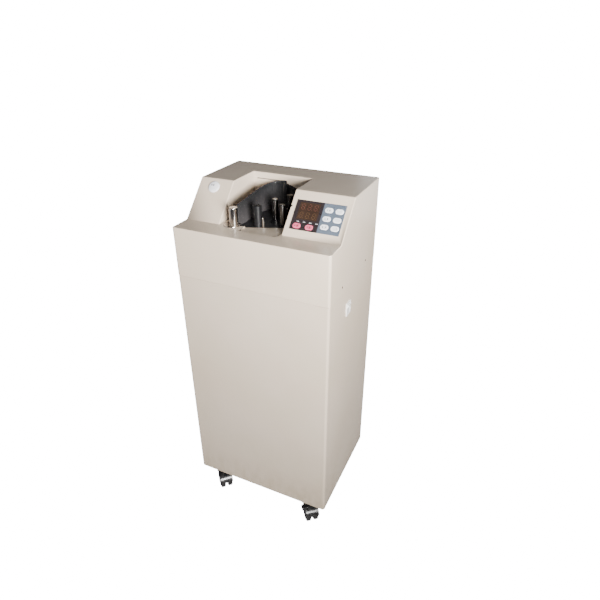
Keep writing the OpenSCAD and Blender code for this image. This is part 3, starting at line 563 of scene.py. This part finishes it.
def bar(bm, width, length, thick, across=0.0, up=0.0, turn=0.0, out=0.0, tip=0.0):
    """Adds a small flat bar, and with a tip its two ends come to a blunt point."""
    made = bmesh.ops.create_cube(bm, size=1)["verts"]
    bmesh.ops.scale(bm, vec=(width, length, thick), verts=made)
    if tip:
        ends = [e for e in bm.edges if e.verts[0] in made and e.verts[1] in made
                and abs(e.verts[0].co.z - e.verts[1].co.z) > thick / 2]
        cut = bmesh.ops.bevel(
            bm, geom=ends, offset=tip, offset_type="OFFSET", segments=1, profile=0.5,
            affect="EDGES", clamp_overlap=True, material=-1,
        )
        made = list({v for v in made if v.is_valid} | set(cut["verts"]))
    shift = Matrix.Translation((across, up, out + thick / 2)) @ Matrix.Rotation(turn, 4, "Z")
    bmesh.ops.transform(bm, matrix=shift, verts=made)
    return made


digit_w, digit_h, digit_pitch, stroke, slant = 8.2 * MM, 13.6 * MM, 14.6 * MM, 1.35 * MM, 0.10
row_pitch = 9.5 * MM
window_middle = (window_low + window_high) / 2


def seven_segments(row_up, name, material):
    """Three unlit figures of seven strokes and a point each."""
    bm = bmesh.new()
    for column in (-1, 0, 1):
        x = column * digit_pitch
        for level in (-1, 0, 1):
            bar(bm, digit_w - 2.2 * stroke, stroke, INK, x + slant * level * digit_h / 2,
                row_up + level * (digit_h - stroke) / 2, tip=stroke * 0.45)
        for side in (-1, 1):
            for level in (-0.5, 0.5):
                bar(bm, stroke, digit_h / 2 - 1.6 * stroke, INK,
                    x + side * (digit_w - stroke) / 2 + slant * level * digit_h / 2,
                    row_up + level * (digit_h - stroke) / 2, turn=-slant, tip=stroke * 0.45)
        bar(bm, stroke, stroke, INK, x + digit_w / 2 + 1.5 * MM, row_up - digit_h / 2 + stroke / 2,
            tip=stroke * 0.25)
    lay_on_slope(bm, window_middle.x, window_middle.y, window_high.z)
    return place(bm, name, "cabinet", "window_tint", material)


for side, name, look, colour in (
    (1, "count_figures", "segment_red", (0.082, 0.032, 0.024)),
    (-1, "batch_figures", "segment_amber", (0.068, 0.038, 0.020)),
):
    unlit = finish(look, colour, 0.16, coat=0.3, shade=0.7, mottle=300, grain=800, depth=0.005 * MM)
    seven_segments(side * row_pitch, name, unlit)

board_green = finish(
    "board_green", (0.015, 0.090, 0.045), 0.30, coat=0.4, shade=0.6, mottle=120, grain=500, depth=0.03 * MM,
)
led_block = finish(
    "led_block", (0.022, 0.014, 0.013), 0.40, shade=0.7, mottle=80, grain=900, depth=0.02 * MM,
)
dress("control_board", board_green, 0.15 * MM)
dress("digit_module", led_block, 0.2 * MM)

film_face = slope_box("display_overlay")[1].z
legend_white = finish(
    "legend_white", (0.62, 0.62, 0.64), 0.35, shade=0.85, mottle=300, grain=1500, depth=0.004 * MM,
)
legends = bmesh.new()
red_one, red_two = (slope_box(f"key_red_{n}") for n in (1, 2))
red_middles = [(low.x + high.x) / 2 for low, high in (red_one, red_two)]
legend_step = (red_middles[1] - red_middles[0]) / 2
for step in range(4):
    for half in (-1, 1):
        bar(legends, 2.3 * MM, 1.5 * MM, INK, red_middles[0] + step * legend_step + half * 1.45 * MM,
            window_low.y - 5.6 * MM)
lay_on_slope(legends, 0, 0, film_face)
place(legends, "legend_dashes", "cabinet", "overlay_dark", legend_white)

# ---- Keys ----
# Each key is a glossy moulded oval with a flange under its film and a stem over a switch on the board.
# A small plain sign is printed on its crown.


def oval_stack(width, length, levels, segments=48):
    """A closed oval block: levels are (height, inset) pairs from its foot up."""
    bm = bmesh.new()
    base_height, base_inset = levels[0]
    radius = length / 2 - base_inset
    bmesh.ops.create_circle(bm, cap_ends=True, cap_tris=False, segments=segments, radius=radius)
    bmesh.ops.translate(bm, vec=(0, 0, base_height), verts=bm.verts)
    bm.faces.ensure_lookup_table()
    crown = bm.faces[0]
    for (low, inset), (high, next_inset) in zip(levels, levels[1:]):
        grown = bmesh.ops.extrude_face_region(bm, geom=[crown])["geom"]
        ring = [item for item in grown if isinstance(item, bmesh.types.BMVert)]
        crown = [item for item in grown if isinstance(item, bmesh.types.BMFace)][0]
        shrink = (length / 2 - next_inset) / (length / 2 - inset)
        bmesh.ops.scale(bm, vec=(shrink, shrink, 1), verts=ring)
        bmesh.ops.translate(bm, vec=(0, 0, high - low), verts=ring)
    for side in (-1, 1):
        half = [vert for vert in bm.verts if vert.co.x * side > 1e-7]
        bmesh.ops.translate(bm, vec=(side * (width - length) / 2, 0, 0), verts=half)
    bmesh.ops.recalc_face_normals(bm, faces=bm.faces)
    return bm


def gloss_plastic(name, colour, shade):
    return finish(
        name, colour, 0.20, specular=0.5, coat=0.4, coat_roughness=0.06, shade=shade, mottle=120,
        grain=700, depth=0.006 * MM, gloss=0.05,
    )


key_white = gloss_plastic("key_white", (0.92, 0.94, 0.97), 0.95)
key_pink = gloss_plastic("key_pink", (0.74, 0.145, 0.235), 0.90)
ink_blue, ink_red = (
    finish(name, colour, 0.4, shade=0.8, mottle=300, grain=1500, depth=0.004 * MM)
    for name, colour in (("ink_blue", (0.020, 0.022, 0.045)), ("ink_red", (0.20, 0.010, 0.030)))
)

# Each sign is a few bars: (across, up, width, length) in millimetres.
SIGNS = {
    "key_white_1": [(-2.5, 0, 3.6, 3.8), (2.3, 0, 3.4, 3.6)],
    "key_white_2": [(0, 0, 5.0, 1.8)],
    "key_white_3": [(-2.4, 0, 3.4, 3.8), (2.5, 0, 3.4, 3.8)],
    "key_white_4": [(0, 0, 5.2, 1.6)],
    "key_white_5": [(-2.4, 0, 3.2, 3.4), (2.2, 0, 3.2, 3.4)],
    "key_white_6": [(0, 0, 4.0, 1.2)],
    "key_red_1": [(-2.4, 0, 3.4, 4.0), (2.4, 0, 3.4, 4.0)],
    "key_red_2": [(-2.4, 0, 3.4, 4.0), (2.4, 0, 3.4, 4.0)],
}
flange, cap_depth = 0.8 * MM, 2.6 * MM
for node, sign in SIGNS.items():
    low, high = slope_box(node)
    width, length = high.x - low.x - 2 * flange, high.y - low.y - 2 * flange
    rise = high.z - low.z
    cap = oval_stack(width, length, [
        (-2.8 * MM, -flange), (-1.8 * MM, -flange), (-1.8 * MM, 0), (-0.55 * MM, 0), (-0.28 * MM, 0.12 * MM),
        (-0.10 * MM, 0.40 * MM), (-0.02 * MM, 0.95 * MM), (0, 2.0 * MM), (0, 4.0 * MM),
    ])
    stem_length = rise - cap_depth
    stem = bmesh.ops.create_cone(
        cap, cap_ends=True, segments=24, radius1=2 * MM, radius2=2 * MM, depth=stem_length
    )["verts"]
    bmesh.ops.translate(cap, vec=(0, 0, -rise + stem_length / 2), verts=stem)
    plain = len(cap.faces)
    for across, up, wide, long in sign:
        strokes = max(1, round(wide / 1.3)) if long > 2 else 1
        thin = 0.82 if strokes > 1 else 1
        for count in range(strokes):
            bar_x = across + (count - (strokes - 1) / 2) * wide / strokes
            tall = long * (0.88 + 0.12 * (count % 2))
            bar(cap, wide / strokes * thin * MM, tall * MM, 0.07 * MM, bar_x * MM, up * MM, out=-0.02 * MM)
    cap.faces.ensure_lookup_table()
    for face in cap.faces[plain:]:
        face.material_index = 1
    lay_on_slope(cap, (low.x + high.x) / 2, (low.y + high.y) / 2, high.z - 0.04 * MM)
    red = "red" in node
    place(cap, node + "_cap", body_of[node], slot_of[node],
          key_pink if red else key_white, ink_red if red else ink_blue, nodes=[node])

# ---- Start button ----
# A domed white push button in the left-hand slope, on a steel spring in a black switch cup.

white_gloss = gloss_plastic("white_gloss", (0.80, 0.80, 0.83), 0.94)
low, high = slope_box("start_button")
rim, dome, stem_r = 1.6 * MM, 2.8 * MM, 3.4 * MM
r = (high.x - low.x) / 2 - rim
tall = high.z - low.z
button = turned(
    [(0, -tall), (stem_r, -tall), (stem_r, -9 * MM), (r - 2 * MM, -9 * MM), (r - 2 * MM, -10.2 * MM),
     (r + rim, -10.2 * MM), (r + rim, -8.2 * MM), (r, -8.2 * MM), (r, -dome - 0.5 * MM)]
    + [(r * math.cos(math.radians(a)), dome * (math.sin(math.radians(a)) - 1)) for a in range(8, 90, 8)]
    + [(0, 0)]
)
plain = len(button.faces)
for across, wide in ((-5.2, 3.0), (-0.4, 3.2)):
    for up in (1.6, 3.2, 4.8):
        sink = dome * (math.sqrt(1 - (across * across + up * up) * MM * MM / (r * r)) - 1)
        mark_w = wide - 0.5 * (up > 4)
        bar(button, mark_w * MM, 0.95 * MM, 0.5 * MM, across * MM, up * MM, out=sink - 0.30 * MM)
button.faces.ensure_lookup_table()
for face in button.faces[plain:]:
    face.material_index = 1
lay_on_slope(button, (low.x + high.x) / 2, (low.y + high.y) / 2, high.z)
place(button, "start_button_cap", "start_button", "white_plastic", white_gloss, ink_blue,
      nodes=["start_button"], sharp=30)

dress("start_switch", nylon_black, 0.4 * MM)
spring_steel = finish(
    "spring_steel", (0.50, 0.51, 0.52), 0.30, metallic=1.0, shade=0.8, mottle=200,
    grain=1500, depth=0.006 * MM,
)
dress("start_spring", spring_steel, 0.05 * MM, angle=179)

# ---- Power switch and inlet ----
# A white rocker in a white snap-in bezel on the right-hand wall, and a black three-pin inlet on the rear
# panel.

switch_white = gloss_plastic("switch_white", (0.82, 0.81, 0.79), 0.95)
dress("switch_bezel", switch_white, 0.7 * MM, segments=3)
dress("power_rocker", switch_white, 0.8 * MM, segments=3)

inlet_black = finish(
    "inlet_black", (0.020, 0.020, 0.022), 0.36, shade=0.7, mottle=70, grain=1300, depth=0.015 * MM,
)
dress("power_inlet", inlet_black, 0.5 * MM)
low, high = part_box("power_inlet")
inlet_x, inlet_z = (low.x + high.x) / 2, (low.z + high.z) / 2
pins = bmesh.new()
for across, up in ((-7, -2.5), (7, -2.5), (0, 3)):
    pin_verts = bmesh.ops.create_cube(pins, size=1)["verts"]
    bmesh.ops.scale(pins, vec=(2.2 * MM, 15.4 * MM, 4.6 * MM), verts=pin_verts)
    spot = (inlet_x + across * MM, high.y - 11.2 * MM, inlet_z + up * MM)
    bmesh.ops.translate(pins, vec=spot, verts=pin_verts)
soften(pins, 0.5 * MM, segments=3)
place(pins, "inlet_pins", "cabinet", "chrome", spindle_chrome)

# ---- Casters ----
# Four twin-wheel casters in black nylon turn on zinc plated top plates. Two of them have a brake pedal,
# hinged between ears on the hood.

caster_zinc = finish(
    "caster_zinc", (0.38, 0.39, 0.41), 0.38, metallic=1.0, shade=0.75, mottle=80, grain=700, depth=0.02 * MM,
    gloss=0.1,
)
dress("caster_plates", caster_zinc, 0.3 * MM)


def wheel_nylon(name, colour):
    """Glossy black nylon, greyed by dust in patches."""
    material, tree, shader = new_finish(name, 0.26, coat=0.35, coat_roughness=0.12)
    patches = noise(tree, 130, 6.0, roughness=0.65)
    dust = spread(tree, patches, 0.45, 0.75, 0, 0.40)
    tree.links.new(blended(tree, dust, colour, (0.060, 0.056, 0.051)), shader.inputs["Base Color"])
    tree.links.new(spread(tree, patches, 0.4, 0.8, 0.20, 0.55), shader.inputs["Roughness"])
    tree.links.new(height(tree, noise(tree, 900, 2.0), 0.02 * MM), shader.inputs["Normal"])
    return material


hood_black = wheel_nylon("hood_black", (0.010, 0.010, 0.011))
tread_black = wheel_nylon("tread_black", (0.013, 0.013, 0.014))
wheel_joints = {joint["child"]: joint for joint in frame["joints"] if joint["name"].startswith("wheel_spin")}

# One wheel's outline: (radius, distance out from its inner face) in millimetres.
WHEEL_OUTLINE = [
    (0, 0), (21.2, 0), (22.4, 0.35), (23.6, 1.0), (24.5, 1.9), (24.9, 2.8), (25, 3.6), (25, 5.9),
    (24.75, 6.2), (24.75, 6.8), (25, 7.1), (25, 9.4), (24.9, 10.2), (24.5, 11.1), (23.6, 12.0), (22.4, 12.65), (21.2, 13),
    (20.2, 13), (19.6, 12.7), (19.1, 11.2), (9.6, 11.2), (8.9, 11.5), (8.5, 12.2), (7.8, 12.4), (4.6, 12.4),
    (4.1, 11.9), (0, 11.9),
]
RIBS = 6
hood_gap = 3.5 * MM
for corner_name in ("fl", "fr", "rl", "rr"):
    joint = wheel_joints["wheels_" + corner_name]
    axle = Vector(joint["axis"]).normalized()
    hub = Vector(joint["pos_m"])
    pair = bmesh.new()
    for side in (-1, 1):
        wheel = turned([(radius * MM, level * MM) for radius, level in WHEEL_OUTLINE], 56)
        for count in range(RIBS):
            round_hub = Matrix.Rotation(count * 2 * math.pi / RIBS, 3, "Z")
            rib = bmesh.ops.create_cube(wheel, size=1)["verts"]
            bmesh.ops.scale(wheel, vec=(10.4 * MM, 1.4 * MM, 1.0 * MM), verts=rib)
            bmesh.ops.translate(wheel, vec=(14.3 * MM, 0, 11.5 * MM), verts=rib)
            bmesh.ops.rotate(wheel, cent=(0, 0, 0), matrix=round_hub, verts=rib)
        bmesh.ops.transform(
            wheel, verts=wheel.verts,
            matrix=Matrix.Translation(hub)
            @ (axle * side).to_track_quat("Z", "Y").to_matrix().to_4x4()
            @ Matrix.Translation((0, 0, hood_gap)),
        )
        loose = bpy.data.meshes.new("wheel")
        wheel.to_mesh(loose)
        wheel.free()
        pair.from_mesh(loose)
        bpy.data.meshes.remove(loose)
    place(pair, "caster_wheels_" + corner_name + "_made", "wheels_" + corner_name, "wheel_black", tread_black,
          nodes=["caster_wheels_" + corner_name], sharp=32)
    dress("caster_hood_" + corner_name, hood_black, 0.5 * MM)
for corner_name in ("fr", "rl"):
    dress("brake_pedal_" + corner_name, hood_black, 0.7 * MM, segments=3)

# ---- Case screws ----
# Ten plated pan-head screws with a cross recess: six hold the rear panel and four hold the top shell.


def islands(bm):
    """The separate solids of a mesh, each as a list of its corners."""
    left, found = set(bm.verts), []
    while left:
        group, waiting = set(), [left.pop()]
        while waiting:
            vert = waiting.pop()
            group.add(vert)
            reached = {edge.other_vert(vert) for edge in vert.link_edges} & left
            left -= reached
            waiting.extend(reached)
        found.append(list(group))
    return found


def solid_object(bm, name):
    """A scratch object that only the recess cut uses."""
    mesh = bpy.data.meshes.new(name)
    bm.to_mesh(mesh)
    bm.free()
    made = bpy.data.objects.new(name, mesh)
    bpy.context.scene.collection.objects.link(made)
    return made


head = solid_object(turned([
    (0, -7.6 * MM), (1.2 * MM, -7.6 * MM), (1.6 * MM, -6.6 * MM), (1.6 * MM, -0.6 * MM),
    (3.1 * MM, -0.6 * MM), (3.1 * MM, 0.05 * MM), (2.9 * MM, 0.7 * MM), (2.3 * MM, 1.15 * MM),
    (1.4 * MM, 1.36 * MM), (0, 1.4 * MM),
], 36), "screw_head")
cross = bmesh.new()
for turn in (0, math.pi / 2):
    blade = bmesh.ops.create_cube(cross, size=1)["verts"]
    bmesh.ops.scale(cross, vec=(3.4 * MM, 0.75 * MM, 1.6 * MM), verts=blade)
    bmesh.ops.rotate(cross, cent=(0, 0, 0), matrix=Matrix.Rotation(turn, 3, "Z"), verts=blade)
    bmesh.ops.translate(cross, vec=(0, 0, 1.3 * MM), verts=blade)
recess = solid_object(cross, "screw_recess")
cut = head.modifiers.new("cut", "BOOLEAN")
cut.operation = "DIFFERENCE"
cut.object = recess
cut.use_self = True
bpy.context.view_layer.update()
cut_head = bpy.data.meshes.new_from_object(head.evaluated_get(bpy.context.evaluated_depsgraph_get()))

head_rise = 1.42 * MM
packed_screws = merged("case_screws")
screws = bmesh.new()
for verts in islands(packed_screws):
    low = Vector([min(v.co[axis] for v in verts) for axis in range(3)])
    high = Vector([max(v.co[axis] for v in verts) for axis in range(3)])
    middle, size = (low + high) / 2, high - low
    along = max(range(3), key=lambda axis: size[axis])
    outward = Vector([0, 0, 0])
    outward[along] = math.copysign(1, middle[along])
    face_at = (high if middle[along] > 0 else low)[along]
    seat = middle.copy()
    seat[along] = face_at - outward[along] * head_rise
    stop_turn = 50 * middle.z  # radians, so that no two rows of screws stop at the same angle
    before = len(screws.verts)
    screws.from_mesh(cut_head)
    screws.verts.ensure_lookup_table()
    bmesh.ops.transform(
        screws, verts=screws.verts[before:],
        matrix=Matrix.Translation(seat) @ outward.to_track_quat("Z", "Y").to_matrix().to_4x4()
        @ Matrix.Rotation(stop_turn, 4, "Z"),
    )
packed_screws.free()
for scrap in (head, recess):
    bpy.data.objects.remove(scrap)
screw_steel = finish(
    "screw_steel", (0.060, 0.060, 0.062), 0.36, metallic=1.0, shade=0.7, mottle=300,
    grain=1500, depth=0.01 * MM,
)
place(screws, "case_screws_made", "cabinet", "screw_steel", screw_steel, nodes=["case_screws"])

# ---- Studio ----
# A plain pale floor and sky that look white to the camera but light the machine only weakly. One soft lamp
# stands low on the right of the front, a weak one on the left, and a broad one behind at half height.


PAPER_WHITE = 16.5


def seen_only(tree, seen, lit):
    """One brightness for the camera, and another for what the surface lights."""
    path = tree.nodes.new("ShaderNodeLightPath")
    return spread(tree, path.outputs["Is Camera Ray"], 0, 1, lit, seen)


floor_mesh = bmesh.new()
bmesh.ops.create_grid(floor_mesh, x_segments=1, y_segments=1, size=60)
floor_paint, floor_tree, floor_shader = new_finish("floor_paint", 0.9)
floor_shader.inputs["Base Color"].default_value = (0.40, 0.40, 0.40, 1)
floor_shader.inputs["Emission Color"].default_value = (1, 1, 1, 1)
floor_tree.links.new(seen_only(floor_tree, PAPER_WHITE, 0.0), floor_shader.inputs["Emission Strength"])
floor_data = bpy.data.meshes.new("floor")
floor_mesh.to_mesh(floor_data)
floor_mesh.free()
floor_data.materials.append(floor_paint)
floor = bpy.data.objects.new("floor", floor_data)
bpy.context.scene.collection.objects.link(floor)

world = bpy.data.worlds.new("studio")
world.use_nodes = True
sky = world.node_tree.nodes["Background"]
sky.inputs["Color"].default_value = (1, 1, 1, 1)
world.node_tree.links.new(seen_only(world.node_tree, PAPER_WHITE, 0.16), sky.inputs["Strength"])
bpy.context.scene.world = world


def lamp(name, spot, aim, size, power, colour=(1, 1, 1), spread_angle=180):
    """A square lamp of a width in metres and a power in watts, aimed at a point."""
    light = bpy.data.objects.new(name, bpy.data.lights.new(name, "AREA"))
    light.data.size = size
    light.data.energy = power
    light.data.spread = math.radians(spread_angle)
    light.data.color = colour
    direction = Vector(aim) - Vector(spot)
    light.matrix_world = Matrix.Translation(spot) @ direction.to_track_quat("-Z", "Y").to_matrix().to_4x4()
    bpy.context.scene.collection.objects.link(light)


lamp("key_lamp", (1.05, -1.15, 1.06), (-0.05, 0, 1.0), 0.5, 37, (1.0, 0.985, 0.965), 96)
lamp("side_lamp", (-1.9, -1.2, 0.8), (0, 0, 0.6), 1.4, 8)
lamp("back_lamp", (0.3, 2.1, 0.8), (0, 0, 0.5), 1.6, 12)
